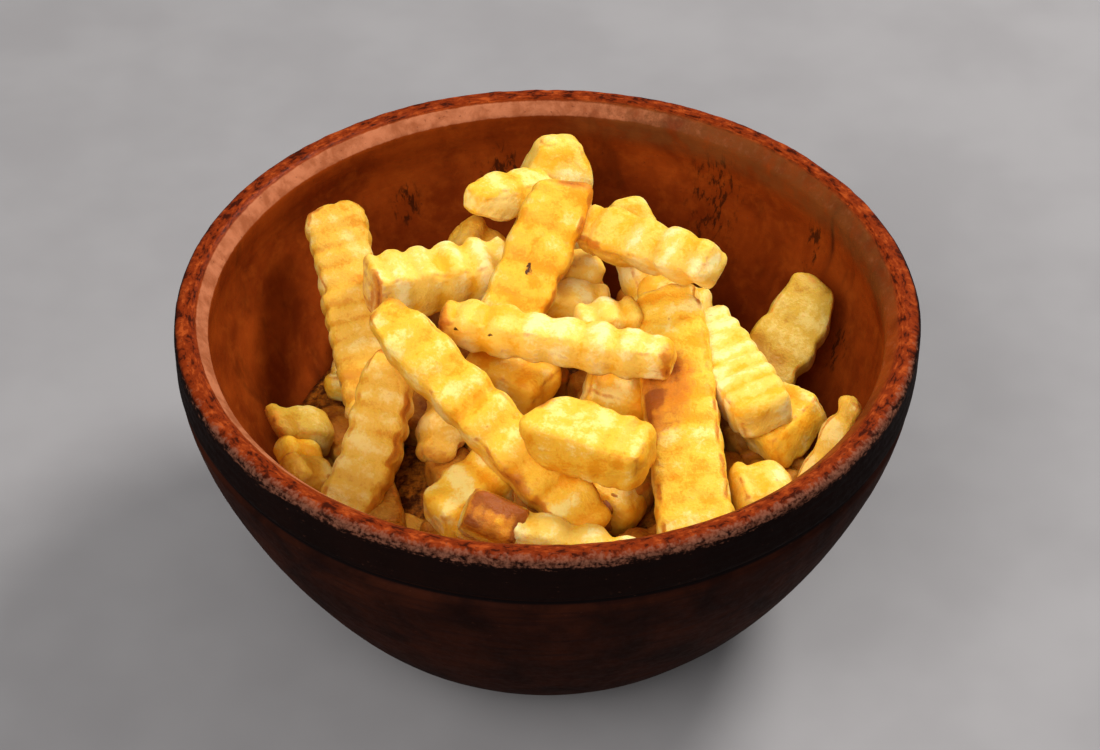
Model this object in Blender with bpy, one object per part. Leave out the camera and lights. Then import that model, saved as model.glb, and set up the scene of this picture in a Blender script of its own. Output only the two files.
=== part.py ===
"""A portion of crinkle-cut french fries in a glazed terracotta bowl.

Metres, +Z up. The origin is the middle of the bowl's flat base, which stands on z = 0.
The bowl is a turned wall with a thick rounded rim, a collar and a groove below it.
The fries are one heap: a lump of packed fries low in the bowl, and the crinkled bars
that lie on it, lean on the wall and stick up over the rim, all joined into one solid.
"""
import math
from collections import namedtuple

import bmesh
import bpy
from mathutils import Vector

# Bowl
RIM_RADIUS = 0.080          # widest, at the collar
RIM_HEIGHT = 0.080          # top of the crest above the table
CREST_RADIUS = 0.0778       # where the crest is highest
COLLAR_TOP = 0.0778         # the collar's outside is upright up to here
COLLAR_BOTTOM = 0.0692
GROOVE_HEIGHT = 0.0674      # turned groove between collar and body
GROOVE_RADIUS = 0.0785
SHOULDER_HEIGHT = 0.0655    # the body's widest place, just under the groove
SHOULDER_RADIUS = 0.0793
FOOT_RADIUS = 0.036         # flat base
LIP_OUTER = (0.0751, 0.0793)    # radius and height where the crest ends inside
LIP_INNER = (0.0724, 0.0764)    # lower edge of the worn band inside the rim
WALL = 0.006
FLOOR_HEIGHT = 0.008        # inside floor
BODY_STEPS = 8              # rings down the outside of the body
BOWL_SIDES = 64

# Heap of fries
GAP = 0.0003                # clearance between the heap and the bowl
LUMP_EDGE = 0.043           # height of the packed fries at the wall
LUMP_RISE = 0.012           # how much higher they lie in the middle
LUMP_BUMP = 0.0015          # unevenness of their top
LUMP_SIDES = 32
SIDE_RIDGE = 0.6            # ridges of the narrow sides against those of the crinkled faces
TIP_REACH = 0.013           # how far along a bar its tips differ from its middle
LEAN_REACH = 0.009          # how far along a bar the slope of its start cut is felt
EDGE_ROUND = 0.0017         # chamfer on the long edges
END_ROUND = 0.0016          # chamfer at the ends
END_PINCH = 0.78            # size of the end faces

# One bar: its two end centres, its width across and thickness between the crinkled faces,
# roll of the crinkled faces about its length in degrees, bend (how far its middle is bowed
# along the crinkled faces' normal), half height and pitch of its ridges, size of its two
# tips against its middle, and lean (slopes of the cut at its start, across and along the
# crinkled faces' normal).
Fry = namedtuple("Fry", "start end wide deep roll bend ridge pitch tips lean",
                 defaults=(0, 0.0, 0.0004, 0.0085, (1.0, 1.0), (0.0, 0.0)))

FRIES = [
    # left side, leaning on the wall and on each other
    Fry((-0.0488, 0.0430, 0.0715), (-0.0375, -0.0010, 0.0455), 0.0100, 0.0130, 98, ridge=0.00025,
        pitch=0.0045, tips=(1.08, 1.0)),
    Fry((-0.0340, -0.0010, 0.0665), (-0.0450, -0.0310, 0.0440), 0.0100, 0.0122, 80, bend=-0.0025,
        ridge=0.0003, pitch=0.0055, tips=(0.5, 1.0)),
    Fry((-0.0595, -0.0100, 0.0510), (-0.0480, -0.0050, 0.0460), 0.0110, 0.0085, ridge=0.0005,
        lean=(0.0, -0.8)),
    Fry((-0.0580, -0.0170, 0.0520), (-0.0500, -0.0140, 0.0470), 0.0070, 0.0050),
    Fry((-0.0570, -0.0240, 0.0510), (-0.0490, -0.0200, 0.0450), 0.0080, 0.0090),
    Fry((-0.0475, 0.0130, 0.0420), (-0.0435, 0.0250, 0.0420), 0.0080, 0.0080),
    # long one running down to the front, and those behind its upper end
    Fry((-0.0360, -0.0040, 0.0805), (0.0105, -0.0425, 0.0515), 0.0120, 0.0110, 20, ridge=0.0005,
        tips=(0.55, 0.75)),
    Fry((-0.0400, 0.0180, 0.0680), (-0.0090, 0.0290, 0.0650), 0.0120, 0.0120, ridge=0.0005, pitch=0.0065),
    Fry((-0.0200, 0.0400, 0.0670), (-0.0040, 0.0360, 0.0500), 0.0110, 0.0090),
    # back, standing up over the rim
    Fry((0.0045, 0.0350, 0.0850), (-0.0112, 0.0055, 0.0610), 0.0100, 0.0140, 70, ridge=0.0003,
        tips=(0.85, 1.05), lean=(0.0, 0.35)),
    Fry((0.0028, 0.0590, 0.0800), (0.0000, 0.0480, 0.0460), 0.0120, 0.0165, 70, ridge=0.0003,
        tips=(0.5, 1.0)),
    Fry((-0.0180, 0.0360, 0.0790), (-0.0005, 0.0500, 0.0715), 0.0095, 0.0095, ridge=0.0002, tips=(0.5, 1.1)),
    Fry((0.0090, 0.0320, 0.0745), (0.0370, 0.0110, 0.0795), 0.0100, 0.0110, 30, ridge=0.0006,
        tips=(1.0, 0.85)),
    Fry((0.0172, 0.0450, 0.0725), (0.0255, 0.0255, 0.0540), 0.0110, 0.0090, ridge=0.0003, tips=(0.7, 1.0)),
    Fry((0.0210, 0.0240, 0.0630), (0.0360, 0.0160, 0.0640), 0.0090, 0.0080),
    # middle, the top one lying across
    Fry((-0.0230, 0.0035, 0.0710), (0.0270, -0.0085, 0.0700), 0.0095, 0.0095, ridge=0.0004, pitch=0.0070,
        tips=(0.85, 0.8)),
    Fry((0.0020, 0.0290, 0.0650), (0.0120, 0.0330, 0.0610), 0.0080, 0.0080, tips=(1.0, 0.7)),
    Fry((-0.0020, 0.0210, 0.0630), (0.0140, 0.0230, 0.0590), 0.0100, 0.0090),
    Fry((0.0060, 0.0080, 0.0655), (0.0200, 0.0110, 0.0655), 0.0090, 0.0090, ridge=0.0006, pitch=0.0070),
    Fry((-0.0170, 0.0050, 0.0580), (0.0000, -0.0030, 0.0550), 0.0120, 0.0100),
    Fry((0.0080, -0.0020, 0.0570), (0.0220, -0.0040, 0.0530), 0.0120, 0.0100),
    # right side
    Fry((0.0268, 0.0185, 0.0662), (0.0320, -0.0500, 0.0510), 0.0155, 0.0100, 10, ridge=0.0003, pitch=0.0070,
        tips=(0.85, 1.12)),
    Fry((0.0340, 0.0170, 0.0600), (0.0475, -0.0175, 0.0605), 0.0135, 0.0110, 10, ridge=0.00025, pitch=0.0045,
        tips=(0.8, 0.9)),
    Fry((0.0608, 0.0265, 0.0635), (0.0441, 0.0060, 0.0500), 0.0100, 0.0140, 70, bend=-0.0020, ridge=0.0005,
        tips=(0.7, 1.2)),
    Fry((0.0575, -0.0040, 0.0550), (0.0460, -0.0150, 0.0500), 0.0120, 0.0100, 10),
    Fry((0.0660, -0.0140, 0.0635), (0.0530, -0.0290, 0.0450), 0.0050, 0.0060, 80, tips=(0.8, 1.0)),
    Fry((0.0400, -0.0310, 0.0510), (0.0530, -0.0280, 0.0490), 0.0120, 0.0090),
    # front
    Fry((-0.0020, -0.0300, 0.0705), (0.0210, -0.0380, 0.0675), 0.0140, 0.0120, ridge=0.0002, pitch=0.0045,
        tips=(0.85, 0.85), lean=(-0.38, -0.4)),
    Fry((-0.0100, -0.0260, 0.0530), (-0.0240, -0.0370, 0.0488), 0.0120, 0.0120, tips=(1.0, 0.9)),
    Fry((-0.0110, -0.0350, 0.0430), (-0.0105, -0.0490, 0.0625), 0.0140, 0.0100, -24, tips=(1.0, 0.85)),
    Fry((-0.0080, -0.0470, 0.0568), (0.0210, -0.0520, 0.0507), 0.0085, 0.0080, ridge=0.0005),
    Fry((-0.0200, -0.0030, 0.0550), (-0.0250, -0.0170, 0.0480), 0.0110, 0.0100, 60, tips=(1.0, 0.6)),
    Fry((-0.0350, -0.0040, 0.0480), (-0.0370, -0.0180, 0.0450), 0.0090, 0.0080, tips=(1.0, 0.8)),
    Fry((-0.0380, -0.0290, 0.0400), (-0.0240, -0.0350, 0.0380), 0.0090, 0.0090),
    Fry((0.0090, -0.0240, 0.0490), (0.0200, -0.0290, 0.0430), 0.0110, 0.0090),
    # lower layer, lying round the wall
    Fry((-0.0440, 0.0330, 0.0400), (-0.0200, 0.0500, 0.0400), 0.0120, 0.0100),
    Fry((-0.0120, 0.0540, 0.0400), (0.0060, 0.0530, 0.0400), 0.0110, 0.0100),
    Fry((0.0180, 0.0510, 0.0390), (0.0380, 0.0390, 0.0380), 0.0120, 0.0100),
    Fry((0.0410, 0.0350, 0.0360), (0.0520, 0.0150, 0.0370), 0.0110, 0.0090),
    Fry((0.0530, -0.0100, 0.0410), (0.0440, -0.0310, 0.0410), 0.0120, 0.0100),
    Fry((0.0380, -0.0380, 0.0410), (0.0180, -0.0530, 0.0420), 0.0120, 0.0100),
    Fry((0.0100, -0.0550, 0.0430), (-0.0160, -0.0530, 0.0410), 0.0120, 0.0100),
    Fry((-0.0220, -0.0490, 0.0420), (-0.0410, -0.0330, 0.0400), 0.0120, 0.0100),
    Fry((-0.0520, 0.0100, 0.0360), (-0.0500, -0.0140, 0.0360), 0.0100, 0.0090),
]


def clear_scene():
    for item in list(bpy.data.objects):
        bpy.data.objects.remove(item, do_unlink=True)


def material(name, colour, roughness):
    finish = bpy.data.materials.new(name)
    finish.use_nodes = True
    shader = finish.node_tree.nodes["Principled BSDF"]
    shader.inputs["Base Color"].default_value = (*colour, 1.0)
    shader.inputs["Roughness"].default_value = roughness
    shader.inputs["Metallic"].default_value = 0.0
    return finish


def bezier(first, pull_first, pull_last, last, steps):
    """Points of a cubic curve from first to last, both ends included."""
    points = []
    for step in range(steps + 1):
        t = step / steps
        weights = ((1 - t) ** 3, 3 * t * (1 - t) ** 2, 3 * t * t * (1 - t), t ** 3)
        corners = (first, pull_first, pull_last, last)
        points.append(Vector((
            sum(w * c[0] for w, c in zip(weights, corners)),
            sum(w * c[1] for w, c in zip(weights, corners)),
        )))
    return points


def body_outline(steps):
    """Outside of the bowl's body, from the flat base up to the shoulder."""
    foot = Vector((FOOT_RADIUS, 0.0))
    shoulder = Vector((SHOULDER_RADIUS, SHOULDER_HEIGHT))
    pull_foot = foot + Vector((0.020, 0.007))
    pull_shoulder = shoulder + Vector((-0.0028, -0.0185))
    return bezier(foot, pull_foot, pull_shoulder, shoulder, steps)


def offset_inward(points, distance):
    """The same outline moved towards the inside of the bowl, along its normals."""
    moved = []
    for index, point in enumerate(points):
        before = points[max(index - 1, 0)]
        after = points[min(index + 1, len(points) - 1)]
        along = (after - before).normalized()
        moved.append(point + distance * Vector((-along.y, along.x)))
    return moved


def inner_outline(inset):
    """Inside of the bowl from the floor up to the shoulder, moved in by inset."""
    outline = offset_inward(body_outline(BODY_STEPS), WALL + inset)
    floor = FLOOR_HEIGHT + inset
    above = [point for point in outline if point.y > floor + 0.001]
    below = outline[outline.index(above[0]) - 1]
    share = (floor - below.y) / (above[0].y - below.y)
    return [below.lerp(above[0], share)] + above


def crest_outline(steps):
    """Rounded top of the rim, from the collar's upright outside to the crest."""
    across = RIM_RADIUS - CREST_RADIUS
    rise = RIM_HEIGHT - COLLAR_TOP
    points = []
    for step in range(steps + 1):
        angle = 0.5 * math.pi * step / steps
        points.append(Vector((CREST_RADIUS + across * math.cos(angle),
                              COLLAR_TOP + rise * math.sin(angle))))
    return points


def bowl_outline():
    """Whole profile of the bowl, from the axis under the base round to the axis inside."""
    outline = [Vector((0.0, 0.0))]
    outline += body_outline(BODY_STEPS)
    outline += [Vector((GROOVE_RADIUS, GROOVE_HEIGHT)), Vector((RIM_RADIUS, COLLAR_BOTTOM))]
    outline += crest_outline(4)
    outline += [Vector(LIP_OUTER), Vector(LIP_INNER)]
    inside = inner_outline(0.0)
    outline += reversed(inside)
    outline.append(Vector((0.0, FLOOR_HEIGHT)))
    return outline


def turned_mesh(name, outline, sides, lift=None):
    """Closed mesh turned about Z from an outline that starts and ends on the axis.

    lift(radius, height, angle) adds height to the points of the upper side.
    """
    form = bmesh.new()
    rings = []
    for radius, height in outline:
        if radius == 0.0:
            rings.append([form.verts.new((0.0, 0.0, height))])
            continue
        ring = []
        for side in range(sides):
            angle = 2 * math.pi * side / sides
            raised = height + (lift(radius, height, angle) if lift else 0.0)
            ring.append(form.verts.new((radius * math.cos(angle), radius * math.sin(angle), raised)))
        rings.append(ring)
    for lower, upper in zip(rings, rings[1:]):
        for side in range(sides):
            following = (side + 1) % sides
            corners = [lower[side % len(lower)], lower[following % len(lower)],
                       upper[following % len(upper)], upper[side % len(upper)]]
            form.faces.new(list(dict.fromkeys(corners)))
    bmesh.ops.recalc_face_normals(form, faces=form.faces)
    mesh = bpy.data.meshes.new(name)
    form.to_mesh(mesh)
    form.free()
    return mesh


def make_bowl():
    mesh = turned_mesh("bowl", bowl_outline(), BOWL_SIDES)
    mesh.shade_smooth()
    mesh.set_sharp_from_angle(angle=math.radians(40))
    bowl = bpy.data.objects.new("bowl", mesh)
    mesh.materials.append(material("glazed_terracotta", (0.20, 0.055, 0.022), 0.30))
    bpy.context.collection.objects.link(bowl)
    return bowl


def lump_lift(radius, height, angle):
    """Unevenness of the packed fries: nothing at the wall or below the top."""
    if height < LUMP_EDGE + 0.0001:
        return 0.0
    return LUMP_BUMP * math.sin(3 * angle + 90 * radius) + LUMP_BUMP * math.sin(5 * angle + 1.3)


def lump_outline():
    """Packed fries low in the bowl: the bowl's inside, closed by a low dome."""
    side = [point for point in inner_outline(GAP) if point.y < LUMP_EDGE - 0.003]
    whole = inner_outline(GAP)
    above = whole[len(side)]
    share = (LUMP_EDGE - side[-1].y) / (above.y - side[-1].y)
    edge = side[-1].lerp(above, share)
    outline = [Vector((0.0, FLOOR_HEIGHT + GAP))] + side + [edge]
    for part in (0.88, 0.70, 0.50, 0.30, 0.0):
        outline.append(Vector((edge.x * part, LUMP_EDGE + LUMP_RISE * (1 - part ** 2))))
    return outline


def fry_axes(fry):
    """Start point, length and the three directions of a bar: along, across, crinkle normal."""
    start = Vector(fry.start)
    along = Vector(fry.end) - start
    length = along.length
    along.normalize()
    across = along.cross(Vector((0.0, 0.0, 1.0))).normalized()
    normal = across.cross(along)
    roll = math.radians(fry.roll)
    rolled_normal = normal * math.cos(roll) + across * math.sin(roll)
    rolled_across = across * math.cos(roll) - normal * math.sin(roll)
    return start, length, along, rolled_across, rolled_normal


def fry_section(half_wide, half_deep):
    """Eight corners of a bar's cross-section, its long edges chamfered."""
    cut = min(EDGE_ROUND, 0.45 * half_deep, 0.45 * half_wide)
    return [(half_wide, half_deep - cut), (half_wide - cut, half_deep),
            (cut - half_wide, half_deep), (-half_wide, half_deep - cut),
            (-half_wide, cut - half_deep), (cut - half_wide, -half_deep),
            (half_wide - cut, -half_deep), (half_wide, cut - half_deep)]


def tip_size(fry, place, length):
    """Size of a bar's section at a place along it, against its middle."""
    reach = min(TIP_REACH, 0.5 * length)
    at_start = max(0.0, 1 - place / reach) ** 2
    at_end = max(0.0, 1 - (length - place) / reach) ** 2
    return 1 - (1 - fry.tips[0]) * at_start - (1 - fry.tips[1]) * at_end


def fry_mesh(name, fry):
    """One crinkled bar: its section swells and shrinks from ridge to groove."""
    start, length, along, across, normal = fry_axes(fry)
    inside = length - 2 * END_ROUND
    steps = max(2, round(inside / (0.5 * fry.pitch)))
    stations = [0.0] + [END_ROUND + inside * step / steps for step in range(steps + 1)] + [length]
    form = bmesh.new()
    rings = []
    for index, place in enumerate(stations):
        share = place / length
        at_end = index in (0, len(stations) - 1)
        size = tip_size(fry, place, length) * (END_PINCH if at_end else 1.0)
        ridge = 0.0 if at_end else fry.ridge * (1 if index % 2 else -1)
        half_wide = 0.5 * fry.wide * size + SIDE_RIDGE * ridge
        half_deep = 0.5 * fry.deep * size + ridge
        middle = start + along * place + normal * (fry.bend * 4 * share * (1 - share))
        slope = max(0.0, 1 - place / LEAN_REACH) ** 2
        ring = []
        for u, v in fry_section(half_wide, half_deep):
            shift = slope * (fry.lean[0] * u + fry.lean[1] * v)
            ring.append(form.verts.new(middle + along * shift + across * u + normal * v))
        rings.append(ring)
    for first, second in zip(rings, rings[1:]):
        for corner in range(8):
            following = (corner + 1) % 8
            form.faces.new((first[corner], first[following], second[following], second[corner]))
    form.faces.new(rings[0])
    form.faces.new(rings[-1])
    bmesh.ops.recalc_face_normals(form, faces=form.faces)
    mesh = bpy.data.meshes.new(name)
    form.to_mesh(mesh)
    form.free()
    return mesh


def make_bars(group):
    """The single bars, as guides that the heap takes in."""
    for number, fry in enumerate(FRIES):
        bar = bpy.data.objects.new(f"bar_{number:02d}", fry_mesh("bar", fry))
        bar.hide_render = True
        bar.display_type = "WIRE"
        group.objects.link(bar)


def make_heap():
    bars = bpy.data.collections.new("bars")
    bpy.context.scene.collection.children.link(bars)
    make_bars(bars)
    mesh = turned_mesh("fries", lump_outline(), LUMP_SIDES, lump_lift)
    heap = bpy.data.objects.new("fries", mesh)
    mesh.materials.append(material("fried_potato", (0.85, 0.52, 0.12), 0.50))
    bpy.context.collection.objects.link(heap)
    union = heap.modifiers.new("take_in_bars", "BOOLEAN")
    union.operation = "UNION"
    union.operand_type = "COLLECTION"
    union.collection = bars
    union.solver = "EXACT"
    return heap


def main():
    clear_scene()
    make_bowl()
    make_heap()


main()
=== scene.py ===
"""Looks of a portion of crinkle-cut french fries in a glazed terracotta bowl.

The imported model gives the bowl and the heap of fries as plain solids. This script puts a
finely turned and worn bowl in place of the first, and the single crisp fries over a smaller
core in place of the second. Metres throughout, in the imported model's own frame.
"""

import math
from collections import namedtuple

import bpy
import numpy as np
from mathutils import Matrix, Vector


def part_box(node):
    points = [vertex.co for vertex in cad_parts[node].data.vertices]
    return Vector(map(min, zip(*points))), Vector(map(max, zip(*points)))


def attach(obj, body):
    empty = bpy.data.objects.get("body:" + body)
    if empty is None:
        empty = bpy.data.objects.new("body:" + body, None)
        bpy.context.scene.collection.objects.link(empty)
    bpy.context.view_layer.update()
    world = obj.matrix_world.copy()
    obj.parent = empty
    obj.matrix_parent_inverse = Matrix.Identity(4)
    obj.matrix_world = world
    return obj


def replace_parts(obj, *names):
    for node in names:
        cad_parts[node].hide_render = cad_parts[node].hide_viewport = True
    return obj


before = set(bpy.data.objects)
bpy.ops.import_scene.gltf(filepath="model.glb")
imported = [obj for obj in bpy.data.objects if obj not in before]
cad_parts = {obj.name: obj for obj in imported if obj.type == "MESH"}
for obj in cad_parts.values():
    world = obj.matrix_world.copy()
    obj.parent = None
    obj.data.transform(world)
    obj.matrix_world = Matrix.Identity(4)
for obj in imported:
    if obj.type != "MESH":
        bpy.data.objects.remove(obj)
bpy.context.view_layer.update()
BOWL_LOW, BOWL_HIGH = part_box("bowl")
MM = 0.001
BODY = "root"

# Camera: how high it stands over the horizon, how far from the point it looks at
VIEW_ELEVATION = 40.63
VIEW_DISTANCE = 0.620
VIEW_TARGET = (0.00063, 0.0, 0.05855)
LENS_MM = 92.4

# Bowl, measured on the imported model; the rest are the same distances as in the solid
RIM_RADIUS = 0.5 * (BOWL_HIGH[0] - BOWL_LOW[0])
RIM_HEIGHT = BOWL_HIGH[2]
CREST_RADIUS = RIM_RADIUS - 0.0022
COLLAR_TOP = RIM_HEIGHT - 0.0022
COLLAR_BOTTOM = RIM_HEIGHT - 0.0108
GROOVE_HEIGHT = RIM_HEIGHT - 0.0126
GROOVE_RADIUS = RIM_RADIUS - 0.0015
SHOULDER_HEIGHT = RIM_HEIGHT - 0.0145
SHOULDER_RADIUS = RIM_RADIUS - 0.0007
FOOT_RADIUS = 0.45 * RIM_RADIUS
CREST_INNER = (RIM_RADIUS - 0.0036, RIM_HEIGHT)
LIP_OUTER = (RIM_RADIUS - 0.0049, RIM_HEIGHT - 0.0007)
LIP_INNER = (RIM_RADIUS - 0.0076, RIM_HEIGHT - 0.0036)
WALL = 0.006
FLOOR_HEIGHT = 0.008
BOWL_SIDES = 400
RIM_STEP = 0.6 * MM         # distance between the rings of the turned mesh on the rim
WALL_STEP = 1.3 * MM        # and elsewhere

# Dark burnt places inside the bowl: angle and height, half their width and height
STAINS = [
    (99, 0.060, 5.0, 0.008),
    (84, 0.052, 4.0, 0.006),
    (57, 0.062, 5.5, 0.012),
    (33, 0.064, 2.2, 0.007),
    (118, 0.058, 3.0, 0.005),
    (16, 0.050, 3.0, 0.006),
]
DRIP = (28, 0.070, 0.6, 0.007)

# Fries
CORNER_ROUND = 2.1 * MM     # roundness of the long edges
END_ROUND = 2.5 * MM
BULGE = 0.30 * MM           # how far the middles of the faces stand out
SIDE_RIDGE = 0.6            # ridges of the narrow sides against those of the crinkled faces
TIP_REACH = 0.013           # how far along a bar its tips differ from its middle
LEAN_REACH = 0.009          # how far along a bar the slope of its start cut is felt
RING_STEP = 0.55 * MM
RING_POINTS = 60

# One bar: its two end centres, its width across and thickness between the crinkled faces,
# roll of the crinkled faces about its length in degrees, bend (how far its middle is bowed
# along the crinkled faces' normal), half height and pitch of its ridges, size of its two
# tips against its middle, lean (slopes of the cut at its start, across and along the
# crinkled faces' normal), kind of crust, and marks: s or e a browned start or end, S or E
# a darker one.
Fry = namedtuple("Fry", "start end wide deep roll bend ridge pitch tips lean kind marks",
                 defaults=(0, 0.0, 0.0004, 0.0085, (1.0, 1.0), (0.0, 0.0), "golden", ""))

FRIES = [
    # left side, leaning on the wall and on each other
    Fry((-0.0488, 0.0430, 0.0715), (-0.0375, -0.0010, 0.0455), 0.0100, 0.0130, 98, ridge=0.00025,
        pitch=0.0045, tips=(1.08, 1.0), kind="tan", marks="s"),
    Fry((-0.0340, -0.0010, 0.0665), (-0.0450, -0.0310, 0.0440), 0.0100, 0.0122, 80, bend=-0.0025,
        ridge=0.0003, pitch=0.0055, tips=(0.5, 1.0), kind="tan", marks="s"),
    Fry((-0.0595, -0.0100, 0.0510), (-0.0480, -0.0050, 0.0460), 0.0110, 0.0085, ridge=0.0005,
        lean=(0.0, -0.8), kind="olive", marks="s"),
    Fry((-0.0580, -0.0170, 0.0520), (-0.0500, -0.0140, 0.0470), 0.0070, 0.0050),
    Fry((-0.0570, -0.0240, 0.0510), (-0.0490, -0.0200, 0.0450), 0.0080, 0.0090, kind="tan", marks="s"),
    Fry((-0.0475, 0.0130, 0.0420), (-0.0435, 0.0250, 0.0420), 0.0080, 0.0080),
    # long one running down to the front, and those behind its upper end
    Fry((-0.0360, -0.0040, 0.0805), (0.0105, -0.0425, 0.0515), 0.0120, 0.0110, 20, ridge=0.0005,
        tips=(0.55, 0.75), marks="s"),
    Fry((-0.0400, 0.0180, 0.0680), (-0.0090, 0.0290, 0.0650), 0.0120, 0.0120, ridge=0.0005,
        pitch=0.0065, kind="pale", marks="s"),
    Fry((-0.0200, 0.0400, 0.0670), (-0.0040, 0.0360, 0.0500), 0.0110, 0.0090, kind="tan", marks="s"),
    # back, standing up over the rim
    Fry((0.0045, 0.0350, 0.0850), (-0.0112, 0.0055, 0.0610), 0.0100, 0.0140, 70, ridge=0.0003,
        tips=(0.85, 1.05), lean=(0.0, 0.35), marks="s"),
    Fry((0.0028, 0.0590, 0.0800), (0.0000, 0.0480, 0.0460), 0.0120, 0.0165, 70, ridge=0.0003,
        tips=(0.5, 1.0), kind="pale"),
    Fry((-0.0180, 0.0360, 0.0790), (-0.0005, 0.0500, 0.0715), 0.0095, 0.0095, ridge=0.0002,
        tips=(0.5, 1.1)),
    Fry((0.0090, 0.0320, 0.0745), (0.0370, 0.0110, 0.0795), 0.0100, 0.0110, 30, ridge=0.0006,
        tips=(1.0, 0.85), kind="pale"),
    Fry((0.0172, 0.0450, 0.0725), (0.0255, 0.0255, 0.0540), 0.0110, 0.0090, ridge=0.0003,
        tips=(0.7, 1.0), kind="pale"),
    Fry((0.0210, 0.0240, 0.0630), (0.0360, 0.0160, 0.0640), 0.0090, 0.0080),
    # middle, the top one lying across
    Fry((-0.0230, 0.0035, 0.0710), (0.0270, -0.0085, 0.0700), 0.0095, 0.0095, ridge=0.0004,
        pitch=0.0070, tips=(0.85, 0.8), kind="pale", marks="se"),
    Fry((0.0020, 0.0290, 0.0650), (0.0120, 0.0330, 0.0610), 0.0080, 0.0080, tips=(1.0, 0.7), kind="pale"),
    Fry((-0.0020, 0.0210, 0.0630), (0.0140, 0.0230, 0.0590), 0.0100, 0.0090, kind="pale"),
    Fry((0.0060, 0.0080, 0.0655), (0.0200, 0.0110, 0.0655), 0.0090, 0.0090, ridge=0.0006, pitch=0.0070,
        kind="pale"),
    Fry((-0.0170, 0.0050, 0.0580), (0.0000, -0.0030, 0.0550), 0.0120, 0.0100),
    Fry((0.0080, -0.0020, 0.0570), (0.0220, -0.0040, 0.0530), 0.0120, 0.0100),
    # right side
    Fry((0.0268, 0.0185, 0.0662), (0.0320, -0.0500, 0.0510), 0.0155, 0.0100, 10, ridge=0.0002,
        pitch=0.0070, tips=(0.85, 1.12), kind="crisp"),
    Fry((0.0340, 0.0170, 0.0600), (0.0475, -0.0175, 0.0605), 0.0135, 0.0110, 10, ridge=0.00025,
        pitch=0.0045, tips=(0.8, 0.9), kind="pale"),
    Fry((0.0608, 0.0265, 0.0635), (0.0441, 0.0060, 0.0500), 0.0100, 0.0140, 70, bend=-0.0020,
        ridge=0.0003, tips=(0.7, 1.2), kind="olive", marks="s"),
    Fry((0.0575, -0.0040, 0.0550), (0.0460, -0.0150, 0.0500), 0.0120, 0.0100, 10),
    Fry((0.0660, -0.0140, 0.0635), (0.0530, -0.0290, 0.0450), 0.0050, 0.0060, 80, tips=(0.8, 1.0),
        kind="tan", marks="s"),
    Fry((0.0400, -0.0310, 0.0510), (0.0530, -0.0280, 0.0490), 0.0120, 0.0090, kind="pale"),
    # front
    Fry((-0.0020, -0.0300, 0.0705), (0.0210, -0.0380, 0.0675), 0.0140, 0.0120, ridge=0.0001,
        pitch=0.0045, tips=(0.85, 0.85), lean=(-0.38, -0.4)),
    Fry((-0.0100, -0.0260, 0.0530), (-0.0240, -0.0370, 0.0488), 0.0120, 0.0120, tips=(1.0, 0.9)),
    Fry((-0.0110, -0.0350, 0.0430), (-0.0105, -0.0490, 0.0625), 0.0140, 0.0100, -24, tips=(1.0, 0.85),
        kind="crisp", marks="E"),
    Fry((-0.0080, -0.0470, 0.0568), (0.0210, -0.0520, 0.0507), 0.0085, 0.0080, ridge=0.0005, kind="pale"),
    Fry((-0.0200, -0.0030, 0.0550), (-0.0250, -0.0170, 0.0480), 0.0110, 0.0100, 60, tips=(1.0, 0.6),
        kind="tan", marks="E"),
    Fry((-0.0350, -0.0040, 0.0480), (-0.0370, -0.0180, 0.0450), 0.0090, 0.0080, tips=(1.0, 0.8)),
    # amber here paints the shade of the gap this fry lies in
    Fry((-0.0380, -0.0290, 0.0400), (-0.0240, -0.0350, 0.0380), 0.0090, 0.0090, kind="amber"),
    Fry((0.0090, -0.0240, 0.0490), (0.0200, -0.0290, 0.0430), 0.0110, 0.0090),
    # lower layer, lying round the wall, in the amber kind whose darker colours paint the shade down there
    Fry((-0.0440, 0.0330, 0.0400), (-0.0200, 0.0500, 0.0400), 0.0120, 0.0100, kind="amber"),
    Fry((-0.0120, 0.0540, 0.0400), (0.0060, 0.0530, 0.0400), 0.0110, 0.0100, kind="amber"),
    Fry((0.0180, 0.0510, 0.0390), (0.0380, 0.0390, 0.0380), 0.0120, 0.0100, kind="amber"),
    Fry((0.0410, 0.0350, 0.0360), (0.0520, 0.0150, 0.0370), 0.0110, 0.0090, kind="amber"),
    Fry((0.0530, -0.0100, 0.0410), (0.0440, -0.0310, 0.0410), 0.0120, 0.0100, kind="amber"),
    Fry((0.0380, -0.0380, 0.0410), (0.0180, -0.0530, 0.0420), 0.0120, 0.0100, kind="amber"),
    Fry((0.0100, -0.0550, 0.0430), (-0.0160, -0.0530, 0.0410), 0.0120, 0.0100, kind="amber"),
    Fry((-0.0220, -0.0490, 0.0420), (-0.0410, -0.0330, 0.0400), 0.0120, 0.0100, kind="amber"),
    Fry((-0.0520, 0.0100, 0.0360), (-0.0500, -0.0140, 0.0360), 0.0100, 0.0090, kind="amber"),
]
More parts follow.
